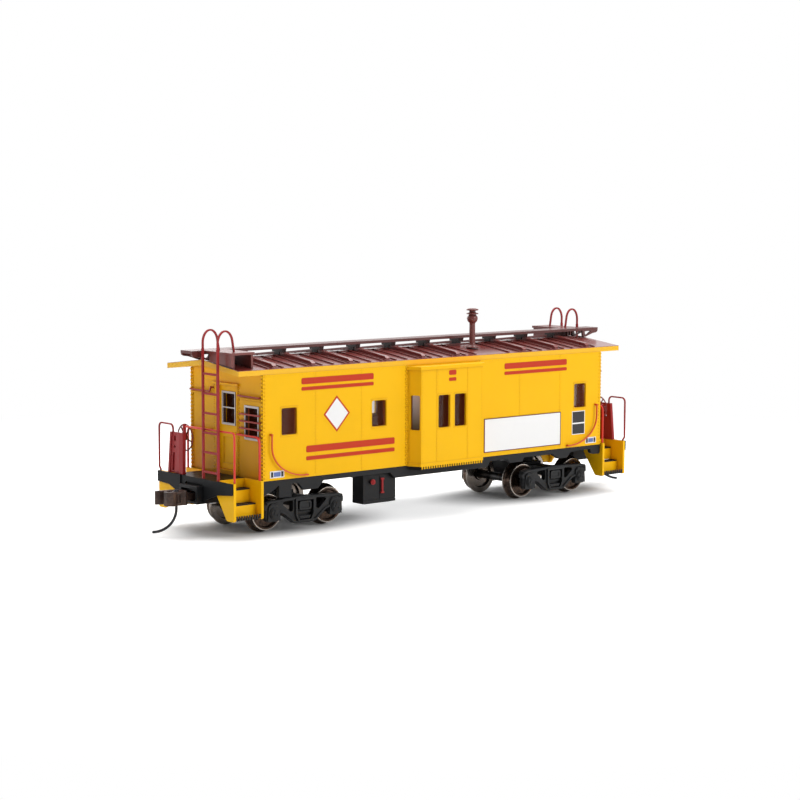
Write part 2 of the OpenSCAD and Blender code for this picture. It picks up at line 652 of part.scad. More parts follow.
// plans: x, y
head_plan = [[8.6, -1.0], [9.8, -2.1], [10.8, -2.75], [13.0, -3.1], [14.6, -3.55],
  [15.3, -3.45], [15.45, -2.9], [14.4, -2.35], [13.0, -2.0], [11.9, -1.5], [10.6, -0.9],
  [10.25, 0.3], [10.4, 2.1], [10.0, 2.6], [9.4, 2.4], [9.0, 1.6], [8.6, 1.0]];
ear_plan = [[10.1, -0.5], [11.7, -0.3], [11.7, 2.1], [10.2, 2.3]];
knuckle_plan = [[12.0, -0.1], [12.6, 0.0], [13.1, 0.25], [13.4, 0.6], [13.7, 0.5], [13.8, 0.05],
  [13.7, -0.5], [13.9, -0.85], [14.4, -0.75], [14.7, -0.1], [14.65, 0.95], [14.3, 1.8],
  [13.6, 2.35], [12.8, 2.35], [12.0, 2.0]];
// where the shank thickens into the head: x, z
shank_neck = [[8.05, shank_z0], [8.75, head_z0 + 0.25], [9.4, head_z0 + 0.25],
  [9.4, head_z1 - 0.25], [8.75, head_z1 - 0.25], [8.05, shank_z1]];
module at_pin(z) { translate([pin[0], pin[1], z]) children(); }
module coupler() {
  color(coupler_brown) translate([pivot_x, 0, 0]) difference() {
    union() {
      peg([0, 0, shank_z0], 2.4, shank_z1 - shank_z0);
      box(1.5, 9.0, -1.0, 1.0, shank_z0, shank_z1);
      along_y(-1.0, 1.0) polygon(shank_neck);
      along_z(head_z0, head_z1) polygon(head_plan);
      // ears that hold the knuckle
      at_pin(head_z0) cylinder(r = 1.2, h = head_z1 - head_z0);
      along_z(head_z0, head_z1) polygon(ear_plan);
    }
    peg([0, 0, 8], 1.56, 4);
    // slot between the ears
    at_pin(coupler_z - 1.1) cylinder(r = 1.3, h = 2.2);
    box(11.7, 15, -0.9, 3.2, coupler_z - 1.1, coupler_z + 1.1);
    at_pin(7) cylinder(r = 0.41, h = 6, $fn = 32);
    // pocket in the side of the head
    box(10.4, 12.4, -3.6, -2.6, coupler_z - 0.8, coupler_z + 0.8);
  }
}
module knuckle() {
  hub_z0 = coupler_z - 1.04;
  hub_z1 = coupler_z + 1.04;
  color(knuckle_brown) translate([pivot_x, 0, 0]) difference() {
    union() {
      at_pin(hub_z0) cylinder(r = 1.15, h = hub_z1 - hub_z0);
      // full height clear of the ears, hub height between them
      intersection() {
        along_z(head_z0, head_z1) polygon(knuckle_plan);
        union() {
          difference() {
            box(11.8, 17, -3, 5, head_z0, head_z1);
            at_pin(7) cylinder(r = 1.35, h = 6);
          }
          box(11.8, 14, -3, 5, hub_z0, hub_z1);
        }
      }
    }
    at_pin(8) cylinder(r = pin_r, h = 5, $fn = 32);
  }
}
trip_r = 6.1; // bend of the trip pin
bend_z = 1.27 + trip_r;
module trip_pin() {
  color(pin_black) translate([pivot_x + pin[0], pin[1], 0]) rotate([0, 0, -42.2]) union() {
    peg([0, 0, bend_z], pin_r, coupler_z + 1.8 - bend_z, $fn = 32);
    // tapered head over the upper ear
    translate([0, 0, coupler_z + 1.78]) cylinder(r1 = 0.75, r2 = 0.5, h = 0.45, $fn = 32);
    translate([trip_r, 0, bend_z]) rotate([90, 0, 0]) rotate([0, 0, 180])
      rotate_extrude(angle = 90) translate([trip_r, 0]) circle(pin_r, $fn = 32);
  }
}

// ---------- trucks, drawn round X = 0 with the outer face of the side at -Y ----------
// tables are x, z
frame_side = mirrored([[0, 9.15], [5, 8.95], [11.0, 8.75], [12.3, 8.45], [12.6, 7.6],
  [12.6, 6.6], [12.1, 6.3], [12.3, 4.1], [11.5, 3.3], [8.8, 3.2], [8.2, 4.0], [7.9, 5.4],
  [6.9, 5.0], [5.9, 4.1], [3.5, 2.35], [2.8, 2.15]]);
top_chord = [[-12.2, 7.9], [-11.0, 8.4], [0, 8.8], [11.0, 8.4], [12.2, 7.9]];
bottom_chord = [[8.0, 5.75], [6.6, 5.25], [3.3, 2.65], [2.0, 2.5]];
nest_frame = mirrored([[3.15, 8.6], [3.15, 4.4], [2.15, 2.4]]);
nest = mirrored([[2.55, 8.0], [2.55, 4.5], [1.75, 2.95]]);
column_window = [[3.75, 8.0], [4.0, 8.25], [6.5, 8.1], [6.95, 7.8], [6.9, 7.3], [4.75, 5.45],
  [4.3, 5.3], [3.85, 5.5], [3.75, 5.9]];
// stepped cap over the axle end: y of its inner face, radius, thickness
bearing_cap = [[-13.3, 1.5, 0.3], [-13.55, 1.2, 0.25], [-13.75, 0.45, 0.18]];

// bearing adapter, cap and its bolts
module bearing_face() {
  along_y(-13.35, -12.9) polygon(mirrored([[-2.0, 3.5], [-1.7, 7.3], [-0.9, 7.9]]));
  along_y(-13.5, -13.3) polygon(mirrored([[-1.55, 7.1], [-1.2, 7.6]]));
  for (disc = bearing_cap) peg_y([0, disc[0], axle_z], disc[1], disc[2]);
  for (a = [90, 210, 330])
    peg_y([0.8 * cos(a), -13.75, axle_z + 0.8 * sin(a)], 0.24, 0.22, $fn = 6);
}
module truck_side() {
  difference() {
    union() {
      along_y(-13.0, -11.35) polygon(frame_side);
      // raised flanges: top chord, bottom chord and the frame round the spring nest
      along_y(-13.3, -12.9) strip(top_chord, 0.5);
      for (s = [-1, 1])
        along_y(-13.3, -12.9) strip([for (p = bottom_chord) [s * p[0], p[1]]], 0.5);
      along_y(-13.45, -12.9) polygon(nest_frame);
      for (x = [-half_base, half_base]) translate([x, 0, 0]) bearing_face();
    }
    // windows beside the columns
    for (s = [-1, 1]) along_y(-14, -11) polygon([for (p = column_window) [s * p[0], p[1]]]);
    // sunk field of the spring nest round the end of the bolster and a lip
    difference() {
      along_y(-14, -12.2) polygon(nest);
      along_y(-13.4, -12.0) rounded(-1.9, 1.9, 5.5, 7.75, 0.55);
      along_y(-13.2, -12.0) polygon(mirrored([[-1.5, 3.2], [-1.9, 3.95]]));
      box(-2.7, 2.7, -12.6, -12.0, 4.6, 5.1);
    }
    // sunk face of the bolster end
    along_y(-14, -13.2) rounded(-1.45, 1.45, 5.95, 7.3, 0.4);
    // pointed bearings for the axles
    for (x = [-half_base, half_base]) translate([x, -11.3, axle_z]) rotate([90, 0, 0]) {
      cylinder(r = 0.81, h = 0.5, $fn = 32);
      translate([0, 0, 0.499]) cylinder(r1 = 0.81, r2 = 0.13, h = 0.98, $fn = 32);
    }
  }
}
module truck_frame() {
  color(frame_dark) translate([-truck_x, 0, 0]) difference() {
    union() {
      both_ends() truck_side();
      // bolster
      box(-2.4, 2.4, -11.6, 11.6, 6.3, 8.7);
      box(-3.2, 3.2, -4.0, 4.0, 6.3, 9.4);
      peg([0, 0, 9.3], 3.0, 1.95);
    }
    // screw hole and its counterbore
    peg([0, 0, 5], 1.05, 8);
    peg([0, 0, 5], 2.2, 2.9);
  }
}
module truck_screw() {
  color("silver") translate([-truck_x, 0, 0]) difference() {
    union() {
      peg([0, 0, 7.8], 1.0, 6.6);
      peg([0, 0, 6.6], 1.95, 1.25);
    }
    box(-3, 3, -0.25, 0.25, 6, 7.1);
  }
}
// radius, distance outwards from the wheel back
wheel_section = [[1.0, 0.25], [1.7, 0.25], [1.9, 0.75], [3.7, 0.75], [3.95, 0], [5.1, 0],
  [axle_z, 0.22], [axle_z, 0.42], [5.2, 0.72], [4.88, 0.92], [tread_r, 1.08],
  [tread_r - 0.07, 2.65], [tread_r - 0.2, 2.8], [4.05, 2.8], [3.75, 2.0], [1.95, 2.0],
  [1.75, 2.55], [1.0, 2.55]];
// half an axle: distance from its middle, radius
axle_half = [[-12.65, 0], [-12.65, 0.12], [-11.75, 0.75], [-10.3, 0.75], [-10.1, 1.0],
  [-7.3, 1.0], [-7.1, 1.15]];
module axle(x) {
  color(axle_black) translate([x, 0, axle_z]) rotate([90, 0, 0]) rotate_extrude($fn = 48)
    polygon([for (p = mirrored(axle_half)) [p[1], p[0]]]);
}
module wheel_pair(x) {
  for (turn = [-90, 90]) color(wheel_grey) translate([x, 0, axle_z]) rotate([turn, 0, 0])
    rotate_extrude($fn = 96)
      polygon([for (p = wheel_section) [p[0], back_to_back / 2 + p[1]]]);
}

body_shell();
bay_window();  // bay_window_near
end_b() bay_window();  // bay_window_far
roof();
running_board();
roof_platform();  // roof_platform_a
end_b() roof_platform();  // roof_platform_b
smokejack();
end_ladder();  // end_ladder_a
end_b() end_ladder();  // end_ladder_b
both_ends() brake_side_rail();  // brake_side_rails
both_ends() ladder_side_rail();  // ladder_side_rails
both_ends() mirror_pair([0, 1, 0]) corner_handrail();  // corner_handrails
both_ends() mirror_pair([1, 0, 0]) side_grab();  // side_grab_irons
both_ends() end_grab_irons();
both_ends() window_guard_bars();
brake_stand();  // brake_stand_a
end_b() brake_stand();  // brake_stand_b
brake_wheel();  // brake_wheel_a
end_b() brake_wheel();  // brake_wheel_b
steps();  // steps_a_near
mirror([0, 1, 0]) steps();  // steps_a_far
mirror([1, 0, 0]) steps();  // steps_b_near
end_b() steps();  // steps_b_far
both_ends() mirror_pair([0, 1, 0]) treads();  // step_treads
underframe();
end_platform();  // end_platform_a
end_b() end_platform();  // end_platform_b
equipment_box();
box_valve_and_gauge();
weight();
side_glazing();
bay_glazing();
end_door();  // end_door_a
end_b() end_door();  // end_door_b
end_window_frames();
end_glazing();
both_ends() truck_screw();  // truck_screws
coupler_box();  // coupler_box_a
end_b() coupler_box();  // coupler_box_b
both_ends() coupler_lid();  // coupler_lids
both_ends() coupler_screw();  // coupler_screws
both_ends() centring_spring();  // centring_springs
end_b() coupler();  // coupler_a
coupler();  // coupler_b
end_b() knuckle();  // knuckle_a
knuckle();  // knuckle_b
end_b() trip_pin();  // trip_pin_a
trip_pin();  // trip_pin_b
truck_frame();  // truck_frame_a
end_b() truck_frame();  // truck_frame_b
axle(-truck_x - half_base);  // axle_a1
axle(-truck_x + half_base);  // axle_a2
axle(truck_x - half_base);  // axle_b1
axle(truck_x + half_base);  // axle_b2
wheel_pair(-truck_x - half_base);  // wheels_a1
wheel_pair(-truck_x + half_base);  // wheels_a2
wheel_pair(truck_x - half_base);  // wheels_b1
wheel_pair(truck_x + half_base);  // wheels_b2
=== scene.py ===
"""A yellow bay-window railway car, as a small scale model.

The car lies along X with its ends at -X and +X, its sides face -Y and +Y, and Z is up from the
floor. The CAD pieces get their materials here. Rivets, seams and prints are modelled on the -Y
side and the -X end, and a half turn about Z repeats them on the other side and end.
Lengths are in millimetres and are turned into metres with MM.
"""
import math

import bmesh
import bpy
from mathutils import Matrix, Vector


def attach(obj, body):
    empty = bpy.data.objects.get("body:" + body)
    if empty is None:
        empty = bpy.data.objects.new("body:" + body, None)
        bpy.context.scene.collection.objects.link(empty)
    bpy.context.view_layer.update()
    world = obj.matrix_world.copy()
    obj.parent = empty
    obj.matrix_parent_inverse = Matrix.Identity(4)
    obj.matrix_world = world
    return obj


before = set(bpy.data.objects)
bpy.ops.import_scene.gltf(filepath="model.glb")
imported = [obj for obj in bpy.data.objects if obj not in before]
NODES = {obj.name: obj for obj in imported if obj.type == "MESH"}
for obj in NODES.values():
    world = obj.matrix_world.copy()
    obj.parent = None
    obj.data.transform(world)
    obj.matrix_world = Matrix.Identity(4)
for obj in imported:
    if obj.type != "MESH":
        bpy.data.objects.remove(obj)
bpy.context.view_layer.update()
MM = 0.001

# ------------------------------------------------------------------ driving dimensions
SIDE_Y = -15.8                      # outer face of the side
BAY_DEPTH = 3.6                     # how far the bay stands out from the side
BAY_TAPER = 1.6                     # how far each angled face runs in along X
BAY_FOOT_X = 12.6                   # half the bay's length where it meets the side
BAY_Y = SIDE_Y - BAY_DEPTH          # outer face of the bay

TRUCK_X = 44.87                     # truck centres from the middle of the car
AXLE_OFFSET = 9.92                  # axles from the truck centre
AXLE_Z = 5.44

SIDE_SEAMS = (-43.4, -28.25, 28.2, 43.8)
BAY_SEAMS = (-5.5, 5.5)
SEAM_HALF = 0.13
SEAM_RIVET_OFFSET = 0.42

# x from, x to
SIDE_WINDOWS = ((-54.35, -49.45), (-24.87, -20.05), (49.45, 54.05))
BAY_WINDOW_CENTRES = (-2.9, 2.9)

# x from, x to, z from, z to
SIGN = (14.8, 44.1, 15.5, 24.85)
SIGN_INSET = 0.1
LABEL = (48.7, 53.8, 17.9, 24.6)
LABEL_BORDER = 0.18
LABEL_BAR_Z = (20.9, 21.3)
REFLECTORS = ((-58.0, -53.6, 14.95, 16.7), (54.15, 58.4, 14.98, 16.7))

DIAMOND_X, DIAMOND_Z = -36.6, 29.9  # centre of the placard

# x from, x to, z from, z to, y of the face, thickness, corner radius
RED_BANDS = (
    (-48.0, -24.4, 38.1, 39.7, SIDE_Y, 0.075, 0.4),
    (-48.0, -24.4, 36.5, 37.4, SIDE_Y, 0.075, 0.3),
    (22.3, 46.3, 38.1, 39.7, SIDE_Y, 0.075, 0.4),
    (22.3, 46.3, 36.5, 37.4, SIDE_Y, 0.075, 0.3),
    (-1.3, 1.3, 38.1, 39.4, BAY_Y, 0.05, 0.4),
    (-1.3, 1.3, 36.5, 37.4, BAY_Y, 0.05, 0.3),
    (-46.5, -17.2, 20.6, 22.3, SIDE_Y, 0.075, 0.4),
    (-46.5, -17.2, 18.6, 19.6, SIDE_Y, 0.075, 0.3),
)


# ------------------------------------------------------------------ shader node tools
def srgb(red, green, blue):
    """A linear colour from 0-255 display values."""
    def linear(value):
        value /= 255.0
        return value / 12.92 if value <= 0.04045 else ((value + 0.055) / 1.055) ** 2.4
    return (linear(red), linear(green), linear(blue), 1.0)


def scaled(color, factor):
    return (*(min(1, channel * factor) for channel in color[:3]), 1.0)


def grey(level):
    return (level, level, level, 1)


WHITE = grey(1)


class Graph:
    """A node tree, emptied and ready to fill."""

    def __init__(self, tree):
        self.tree = tree
        tree.nodes.clear()

    def feed(self, socket, value):
        """Sets a number or colour on a socket, or links an output to it."""
        if isinstance(value, (int, float, tuple)):
            socket.default_value = value
        else:
            self.tree.links.new(value, socket)

    def add(self, kind, inputs=None, **settings):
        """Adds a node; inputs maps socket names or indices to values or outputs."""
        node = self.tree.nodes.new(kind)
        for key, value in settings.items():
            setattr(node, key, value)
        for key, value in (inputs or {}).items():
            self.feed(node.inputs[key], value)
        return node


class Mat(Graph):
    """A node material, built step by step."""

    def __init__(self, name):
        self.material = bpy.data.materials.new(name)
        self.material.use_nodes = True
        super().__init__(self.material.node_tree)
        self.out = self.add("ShaderNodeOutputMaterial")
        self.coords = self.add("ShaderNodeTexCoord").outputs["Object"]
        # a paint's local finish may set these
        # painted emission strength, on parts that are no lamp
        self.painted_glow = None        # emission strength
        self.matt = None        # mask: 1 keeps the coat, 0 takes it away
        self.crevice_color = None

    def surface(self, shader):
        self.feed(self.out.inputs["Surface"], shader)
        return self.material

    def place(self):
        """X, Y and Z of the shaded point, in metres."""
        return self.add("ShaderNodeSeparateXYZ", {0: self.coords}).outputs

    def facing(self):
        """X, Y and Z of the face normal."""
        normal = self.add("ShaderNodeNewGeometry").outputs["True Normal"]
        return self.add("ShaderNodeSeparateXYZ", {0: normal}).outputs

    def noise(self, scale, detail=3.0, rough=0.55):
        return self.add("ShaderNodeTexNoise", {
            "Scale": scale, "Detail": detail, "Roughness": rough, "Vector": self.coords,
        }).outputs["Fac"]

    def ramp(self, fac, *stops):
        """A two-stop colour ramp; each stop is (position, colour)."""
        node = self.add("ShaderNodeValToRGB", {"Fac": fac})
        for element, (position, color) in zip(node.color_ramp.elements, stops):
            element.position = position
            element.color = color
        return node.outputs["Color"]

    def mix(self, fac, color_a, color_b):
        inputs = {0: fac, 6: color_a, 7: color_b}
        return self.add("ShaderNodeMix", inputs, data_type="RGBA").outputs[2]

    def mix_shader(self, fac, shader_a, shader_b):
        return self.add("ShaderNodeMixShader", {0: fac, 1: shader_a, 2: shader_b}).outputs[0]

    def math(self, operation, a, b=0.0, clamp=False):
        inputs = {0: a, 1: b, 2: 0.0}
        node = self.add("ShaderNodeMath", inputs, operation=operation, use_clamp=clamp)
        return node.outputs[0]

    def plus(self, a, b):
        return self.math("ADD", a, b)

    def minus(self, a, b):
        return self.math("SUBTRACT", a, b)

    def times(self, a, b):
        return self.math("MULTIPLY", a, b)

    def less(self, a, b):
        return self.math("LESS_THAN", a, b)

    def more(self, a, b):
        return self.math("GREATER_THAN", a, b)

    def size(self, a):
        return self.math("ABSOLUTE", a)

    def hypot(self, a, b):
        return self.math("SQRT", self.plus(self.times(a, a), self.times(b, b)))

    def map_range(self, value, start, end, limits=None, **settings):
        inputs = {"Value": value, "From Min": start, "From Max": end}
        if limits:
            inputs["To Min"], inputs["To Max"] = limits
        return self.add("ShaderNodeMapRange", inputs, **settings).outputs[0]

    def bump(self, height, strength, distance):
        return self.add("ShaderNodeBump", {
            "Strength": strength, "Distance": distance, "Height": height,
        }).outputs["Normal"]

    def crevice(self, distance):
        """Ambient occlusion: 1 in the open, lower in corners."""
        node = self.add("ShaderNodeAmbientOcclusion", {"Distance": distance}, samples=6)
        return node.outputs["AO"]

    def principled(self, color, rough, normal, metallic=0.0, coat=0.0, spec=0.5):
        node = self.add("ShaderNodeBsdfPrincipled", {
            "Base Color": color, "Roughness": rough, "Metallic": metallic,
            "Coat Weight": coat, "Specular IOR Level": spec, "Coat Roughness": 0.15,
            "Normal": normal,
        })
        self.surface(node.outputs[0])
        return node


# ------------------------------------------------------------------ paint
def painted(name, color, rough, drift, crevice_shade, coat, dark=None, grain=0.02, spec=0.5, reach=0.9,
            finish=None):
    """Sprayed paint on a plastic moulding, with painted shade in the corners.

    drift is the colour variation, dirt the strength of the painted crevice shade toward the
    colour dark, grain the relief of the spray, reach how far (mm) the crevice shade spreads,
    and finish a function that changes the colour by place.
    """
    mat = Mat(name)
    broad = mat.noise(scale=70.0, detail=4.0)
    fine = mat.noise(scale=3800.0, detail=2.0, rough=0.6)
    mottle = mat.noise(scale=520.0, detail=3.0, rough=0.6)
    base = mat.ramp(broad, (0.25, scaled(color, 1 - drift)), (0.75, scaled(color, 1 + drift)))
    if finish:
        base = finish(mat, base)
    mottle_amount, mottle_shade = 0.10, 0.72
    base = mat.mix(mat.times(mottle, mottle_amount), base, scaled(color, mottle_shade))
    # painted shade: corners and crevices darken toward the crevice colour
    open_air = mat.crevice(distance=reach * MM)
    shade = mat.math("MULTIPLY", mat.minus(1.0, open_air), crevice_shade, clamp=True)
    base = mat.mix(shade, base, mat.crevice_color or dark or scaled(color, 0.28))
    # roughness wanders over rough_span, centred on the given value
    rough_span = 0.16
    rough = mat.plus(mat.times(mat.noise(scale=300.0), rough_span), rough - 0.08)
    fine_share, mottle_share = 0.7, 0.3
    height = mat.plus(mat.times(fine, fine_share), mat.times(mottle, mottle_share))
    if mat.matt:
        coat = mat.times(mat.matt, coat)
        uncoated_rough = 0.16
        rough = mat.plus(rough, mat.times(mat.minus(1.0, mat.matt), uncoated_rough))
    normal = mat.bump(height, strength=grain * 10, distance=0.03 * MM)
    node = mat.principled(base, rough, normal, coat=coat, spec=spec)
    if mat.painted_glow:
        # painted emission, standing in for daylight soaking through the thin moulded walls
        node.inputs["Emission Color"].default_value = srgb(104, 46, 26)
        mat.feed(node.inputs["Emission Strength"], mat.painted_glow)
    return mat.material


YELLOW = srgb(250, 191, 6)
DEEP_BROWN = srgb(30, 10, 9)
LEVEL_NORMAL = 0.6          # a normal component above this counts as facing that way


def shell_finish(mat, base):
    """Bare red-brown moulding inside the walls, lit by a painted emission, and painted shade low
    on the end walls.
    """
    inner_y, inner_x, painted_glow = 15.25 * MM, 59.3 * MM, 0.42
    x, y, z = mat.place()
    within_y = mat.less(mat.size(y), inner_y)
    within_x = mat.less(mat.size(x), inner_x)
    inner = mat.times(within_x, within_y)
    # painted emission inside the walls
    mat.painted_glow = mat.times(inner, painted_glow)
    end_wall = mat.more(mat.size(mat.facing()[0]), LEVEL_NORMAL)
    # painted shade deepens from the eave down to the deck
    fall = mat.map_range(z, start=40 * MM, end=15 * MM, limits=(0.08, 0.52))
    grime_and_shade = srgb(150, 78, 24)
    base = mat.mix(mat.times(end_wall, fall), base, grime_and_shade)
    streak_light, streak_dark = srgb(146, 60, 30), srgb(46, 18, 11)
    streak = mat.mix(mat.noise(scale=260.0, detail=2.0), streak_light, streak_dark)
    return mat.mix(inner, base, streak)


def bay_finish(mat, base):
    """Bare moulding inside the pocket of the bay window, lit by a painted emission."""
    face_slope, wall = 0.444, 0.75 * MM
    inner_y, top, bottom, painted_glow = 18.75 * MM, 39.45 * MM, 15.4 * MM, 0.28
    x, y, z = mat.place()
    y = mat.size(y)
    x = mat.size(x)
    beyond_side = mat.minus(y, -SIDE_Y * MM)
    outer_x = mat.minus(BAY_FOOT_X * MM, mat.times(beyond_side, face_slope))
    within_x = mat.less(x, mat.minus(outer_x, wall))
    within_y = mat.less(y, inner_y)
    within_z = mat.times(mat.less(z, top), mat.more(z, bottom))
    inner = mat.times(mat.times(within_x, within_y), within_z)
    # painted emission inside the bay's pocket
    mat.painted_glow = mat.times(inner, painted_glow)
    bare = srgb(80, 34, 22)
    return mat.mix(inner, base, bare)


def deck_shade_finish(mat, base):
    """Painted shade: the platform's upward walking surface goes near black beside its beam."""
    deck_top_shade = srgb(9, 8, 9)
    return mat.mix(mat.more(mat.facing()[2], LEVEL_NORMAL), base, deck_top_shade)


def walkway_shade_finish(mat, base):
    """Painted shade keeps the saddles and brackets under the boards dark."""
    board_bottom, platform_x = 46.08 * MM, 62 * MM
    x, _, z = mat.place()
    low = mat.less(z, board_bottom)
    middle = mat.less(mat.size(x), platform_x)
    under = srgb(44, 26, 25)
    return mat.mix(mat.times(low, middle), base, under)


def roof_finish(mat, base):
    """The roof's edge and underside are body colour; the top is brown."""
    ridge_z, pitch, skin = 44.4 * MM, 0.121, 0.10 * MM
    _, y, z = mat.place()
    top = mat.minus(ridge_z, mat.times(mat.size(y), pitch))
    below = mat.less(z, mat.minus(top, skin))
    mat.matt = mat.minus(1.0, below)
    amber = srgb(176, 110, 10)
    mat.crevice_color = mat.mix(below, DEEP_BROWN, amber)
    return mat.mix(below, base, YELLOW)


def trim_finish(mat, base):
    """The trim is silver on its face; the reveal behind it is unpainted."""
    reveal = srgb(84, 60, 50)
    return mat.mix(mat.less(mat.size(mat.facing()[0]), LEVEL_NORMAL), base, reveal)


# ------------------------------------------------------------------ metal and glass
def turned_metal(name):
    """Browned wheel, bright on the tyre's outer face and flange tip, with turned rings."""
    mat = Mat(name)
    x, y, z = mat.place()
    radius = None
    for truck in (-1, 1):
        for axle in (-1, 1):
            dx = mat.minus(x, truck * TRUCK_X * MM + axle * AXLE_OFFSET * MM)
            dz = mat.minus(z, AXLE_Z * MM)
            reach = mat.hypot(dx, dz)
            radius = reach if radius is None else mat.math("MINIMUM", radius, reach)

    outer_y, tyre_radius = 9.93 * MM, 4.46 * MM
    inner_y, inner_radius = 7.32 * MM, 1.9 * MM
    flange_radius, hub_radius = 5.36 * MM, 1.5 * MM
    inner_gloss, flange_gloss, back_gloss = 0.50, 0.6, 0.85
    away = mat.size(y)
    outer = mat.times(mat.more(away, outer_y), mat.more(radius, tyre_radius))
    back = mat.times(mat.less(away, inner_y), mat.more(radius, inner_radius))
    tip = mat.more(radius, flange_radius)
    # faces turned toward the car's centre line are paler than the outer ones
    outward = mat.times(mat.facing()[1], mat.math("SIGN", y))
    inward = mat.less(outward, -0.5)
    inward_pale = mat.times(mat.times(inward, mat.more(radius, hub_radius)), back_gloss)
    back = mat.math("MAXIMUM", back, inward_pale)
    bright = mat.math("MAXIMUM", outer, mat.times(back, inner_gloss))
    bright = mat.math("MAXIMUM", bright, mat.times(tip, flange_gloss))

    grime_and_shade = mat.noise(scale=1100.0, detail=4.0, rough=0.6)
    brown = mat.ramp(grime_and_shade, (0.3, srgb(38, 29, 24)), (0.7, srgb(98, 80, 69)))
    pale = mat.ramp(mat.noise(scale=400.0), (0.3, srgb(196, 184, 172)), (0.7, srgb(232, 224, 216)))
    color = mat.mix(bright, brown, pale)
    along_radius = mat.add("ShaderNodeCombineXYZ", {0: radius}).outputs[0]
    rings = mat.add("ShaderNodeTexWave",
                    {"Vector": along_radius, "Scale": 3500.0, "Distortion": 0.4},
                    wave_type="BANDS", bands_direction="X").outputs["Fac"]
    least_rough, rough_span = 0.13, 0.10
    rough = mat.plus(least_rough, mat.times(grime_and_shade, rough_span))
    normal = mat.bump(rings, strength=0.2, distance=0.01 * MM)
    mat.principled(color, rough, normal, metallic=0.85, spec=0.6)
    return mat.material


def cast(name, dark, light, rough, metallic):
    """Metal with a cast grain, mottled between two colours."""
    mat = Mat(name)
    mottle = mat.noise(scale=420.0, detail=6.0, rough=0.65)
    grain = mat.noise(scale=2600.0, detail=3.0, rough=0.6)
    color = mat.ramp(mottle, (0.3, dark), (0.7, light))
    # painted shade: crevices darken toward a deeper copy of the dark colour
    open_air = mat.crevice(distance=0.6 * MM)
    crevice_shade, crevice_shade_depth, rough_span = 0.7, 0.3, 0.2
    shade = mat.math("MULTIPLY", mat.minus(1.0, open_air), crevice_shade, clamp=True)
    color = mat.mix(shade, color, scaled(dark, crevice_shade_depth))
    rough = mat.plus(mat.times(grain, rough_span), rough - 0.1)
    normal = mat.bump(grain, strength=0.5, distance=0.03 * MM)
    mat.principled(color, rough, normal, metallic=metallic)
    return mat.material


def glazing(name, gain, clear, painted_sheen=False):
    """Clear, slightly wavy sheet with a thin reflection.

    gain scales the reflection and clear is the light let through. With filmed, the bay's
    narrow panes get a painted reflection: a milky grey, paler toward the top.
    """
    mat = Mat(name)
    tint = (clear, clear * 0.99, clear * 0.98, 1)
    through = mat.add("ShaderNodeBsdfTransparent", {"Color": tint}).outputs[0]
    rough_span, least_rough = 0.05, 0.02
    rough = mat.plus(mat.times(mat.noise(scale=600.0), rough_span), least_rough)
    waves = mat.bump(mat.noise(scale=180.0, detail=1.5), strength=0.3, distance=0.05 * MM)
    gloss = mat.add("ShaderNodeBsdfGlossy", {"Color": WHITE, "Roughness": rough, "Normal": waves})
    fresnel = mat.add("ShaderNodeFresnel", {"IOR": 1.52, "Normal": waves}).outputs[0]
    sheet = mat.mix_shader(mat.times(fresnel, gain), through, gloss.outputs[0])
    if painted_sheen:
        # painted reflection on the bay's angled panes, a diffuse grey paler toward the top
        pane_x, sheen_amount = 9.4 * MM, 0.82
        x, _, z = mat.place()
        narrow = mat.more(mat.size(x), pane_x)
        rise = mat.map_range(z, start=25 * MM, end=33 * MM)
        low, high = srgb(116, 108, 94), srgb(214, 202, 206)
        sheen_paint = mat.add("ShaderNodeBsdfDiffuse", {"Color": mat.mix(rise, low, high)})
        sheet = mat.mix_shader(mat.times(narrow, sheen_amount), sheet, sheen_paint.outputs[0])
    return mat.surface(sheet)


# ------------------------------------------------------------------ materials on the CAD pieces
def present(names):
    """The CAD pieces in a space-separated list; a piece missing from the load is passed over."""
    return [NODES[name] for name in names.split() if name in NODES]


def cover(names, material):
    for piece in present(names):
        piece.data.materials.clear()
        piece.data.materials.append(material)


BODY = dict(color=YELLOW, rough=0.40, drift=0.03, crevice_shade=0.65, coat=0.02,
            dark=srgb(150, 84, 8), spec=0.16)

mat_yellow = painted("body_yellow_paint", **BODY)
cover("end_door_a end_door_b steps_a_near steps_a_far steps_b_near steps_b_far", mat_yellow)
cover("body_shell", painted("shell_yellow_paint", finish=shell_finish, **BODY))
cover("bay_window_near bay_window_far", painted("bay_yellow_paint", finish=bay_finish, **BODY))
rivet_shadow_mat = painted("rivet_foot_shadow", srgb(158, 92, 10), rough=0.55, drift=0.08, crevice_shade=0.6,
                   coat=0.0, dark=srgb(70, 34, 4), spec=0.2)
cover("roof", painted(
    "roof_brown_paint", srgb(130, 50, 44), rough=0.30, drift=0.08, crevice_shade=0.8, coat=0.65,
    finish=roof_finish))
cover("roof_platform_a roof_platform_b smokejack", painted(
    "brown_paint", srgb(118, 58, 52), rough=0.34, drift=0.08, crevice_shade=0.75, coat=0.15,
    dark=DEEP_BROWN))
cover("running_board", painted(
    "walkway_brown_paint", srgb(98, 46, 42), rough=0.34, drift=0.08, crevice_shade=0.75, coat=0.15,
    dark=DEEP_BROWN, finish=walkway_shade_finish))
